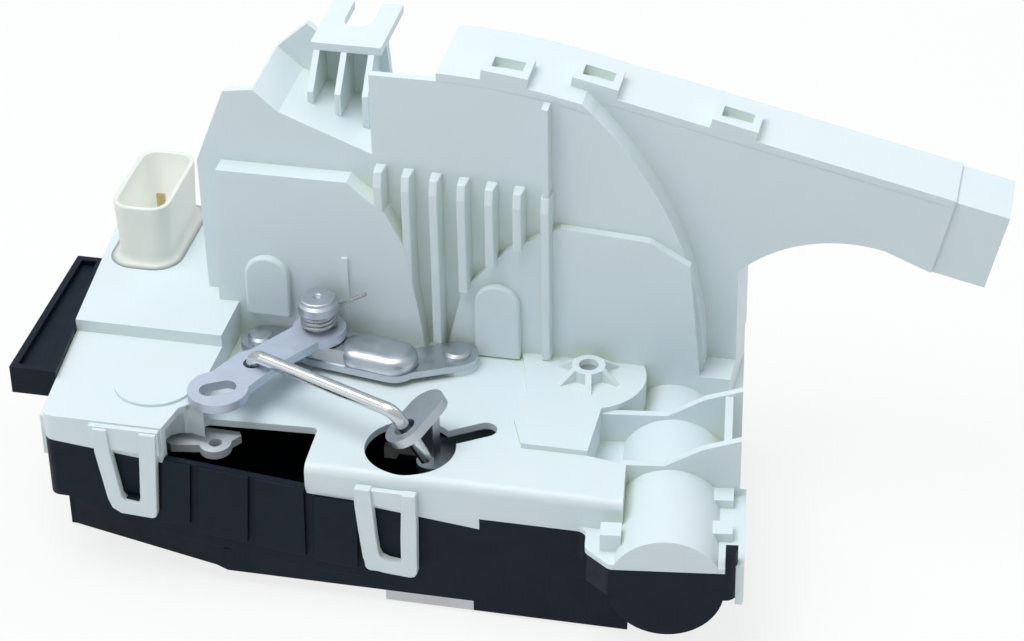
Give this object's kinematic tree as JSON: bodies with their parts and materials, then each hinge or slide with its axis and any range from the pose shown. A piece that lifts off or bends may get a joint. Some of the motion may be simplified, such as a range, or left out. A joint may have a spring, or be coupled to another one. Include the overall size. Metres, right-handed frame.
{
  "type": "door latch actuator",
  "caption": "Van door latch with a fork and pawl chamber behind a steel plate, a handle lever linkage and a motor worm drive under a white cover with a tall harness arm.",
  "frame": {"origin": "a point on the outer face of the steel face plate, near the middle of the latch", "axes": "+Z from the face plate into the door, +X along the base towards the harness arm's end, +Y from the open lever side to the back of the tower"},
  "size_m": [0.2489, 0.1155, 0.1232],
  "materials": {
    "cover_plastic": "white moulded plastic, faintly translucent",
    "case_plastic": "dark blue black moulded plastic",
    "plate_steel": "zinc plated pressed steel",
    "contacts": "tinned brass",
    "socket_plastic": "cream moulded plastic",
    "lever_steel": "zinc plated steel",
    "spring_wire": "bare spring wire",
    "bumper_rubber": "soft black rubber",
    "rod_steel": "drawn and plated wire",
    "gear_plastic": "natural moulded plastic",
    "bearing_brass": "sintered bronze",
    "board": "green circuit board"
  },
  "bodies": {
    "housing": {"latch_cover": "cover_plastic", "actuator_housing": "cover_plastic", "rear_cover": "cover_plastic", "latch_case": "case_plastic", "face_plate": "plate_steel", "harness_connector": "cover_plastic", "harness_pins": "contacts", "lead_frame": "contacts", "connector_socket": "socket_plastic", "connector_pins": "contacts", "edge_seal": "case_plastic", "fork_pin": "lever_steel", "fork_spring": "spring_wire", "pawl_pin": "lever_steel", "pawl_spring": "spring_wire", "fork_bumper": "bumper_rubber", "lever_bracket": "lever_steel", "pivot_stud": "lever_steel", "lever_spring": "spring_wire", "bracket_rivets": "lever_steel", "inner_lever_pin": "lever_steel", "motor": "plate_steel", "shaft_bearing": "bearing_brass", "wheel_pin": "lever_steel", "sensor_board": "board"},
    "handle_lever": {"handle_lever": "lever_steel"},
    "connecting_rod": {"connecting_rod": "rod_steel"},
    "crank": {"crank_lever": "lever_steel", "crank_shaft": "lever_steel", "release_arm": "lever_steel"},
    "pawl": {"pawl": "lever_steel"},
    "fork_bolt": {"fork_bolt": "lever_steel"},
    "inner_lever": {"inner_lever": "lever_steel"},
    "worm_wheel": {"worm_wheel": "gear_plastic"},
    "lock_slider": {"lock_slider": "gear_plastic"},
    "rotor": {"motor_shaft": "lever_steel", "worm": "gear_plastic"}
  },
  "joints": [
    {"name": "lever_turn", "type": "hinge", "parent": "housing", "child": "handle_lever", "pos_m": [0.002, 0.007, 0.047], "axis": [0, 0, -1], "range_deg": [0, 22], "stiffness_Nm_per_rad": 0.05, "springref_deg": -17.19},
    {"name": "rod_turn", "type": "hinge", "parent": "handle_lever", "child": "connecting_rod", "pos_m": [-0.0105, -0.0125, 0.047], "axis": [0, 0, -1], "range_deg": [-22, 0]},
    {"name": "crank_turn", "type": "hinge", "parent": "housing", "child": "crank", "pos_m": [0.047, -0.01, 0.0124], "axis": [0, 0, -1], "range_deg": [0, 22]},
    {"name": "pawl_turn", "type": "hinge", "parent": "housing", "child": "pawl", "pos_m": [-0.002, 0.01, 0.005], "axis": [0, 0, 1], "range_deg": [0, 12]},
    {"name": "fork_turn", "type": "hinge", "parent": "housing", "child": "fork_bolt", "pos_m": [-0.028, -0.008, 0.005], "axis": [0, 0, -1], "range_deg": [0, 65], "stiffness_Nm_per_rad": 0.03, "springref_deg": -22.92},
    {"name": "inner_lever_turn", "type": "hinge", "parent": "housing", "child": "inner_lever", "pos_m": [-0.04, -0.018, 0.0325], "axis": [0, 0, 1], "range_deg": [0, 12]},
    {"name": "wheel_turn", "type": "hinge", "parent": "housing", "child": "worm_wheel", "pos_m": [0.073, 0.0105, 0.0242], "axis": [0, 0, 1], "range_deg": [0, 100]},
    {"name": "slider_move", "type": "slide", "parent": "housing", "child": "lock_slider", "axis": [1, 0, 0], "range_m": [0, 0.01057]},
    {"name": "rotor_turn", "type": "hinge", "parent": "housing", "child": "rotor", "pos_m": [0.0955, 0.0135, 0.0242], "axis": [-0.1323, 0.9912, 0], "range_deg": [-3601, 0]}
  ],
  "couplings": [
    {"joint": "rod_turn", "follows": "lever_turn", "ratio": -1},
    {"joint": "crank_turn", "follows": "lever_turn", "ratio": 1},
    {"joint": "pawl_turn", "follows": "lever_turn", "ratio": 0.54545},
    {"joint": "slider_move", "follows": "wheel_turn", "m_per_rad": 0.006},
    {"joint": "rotor_turn", "follows": "wheel_turn", "ratio": -36}
  ]
}
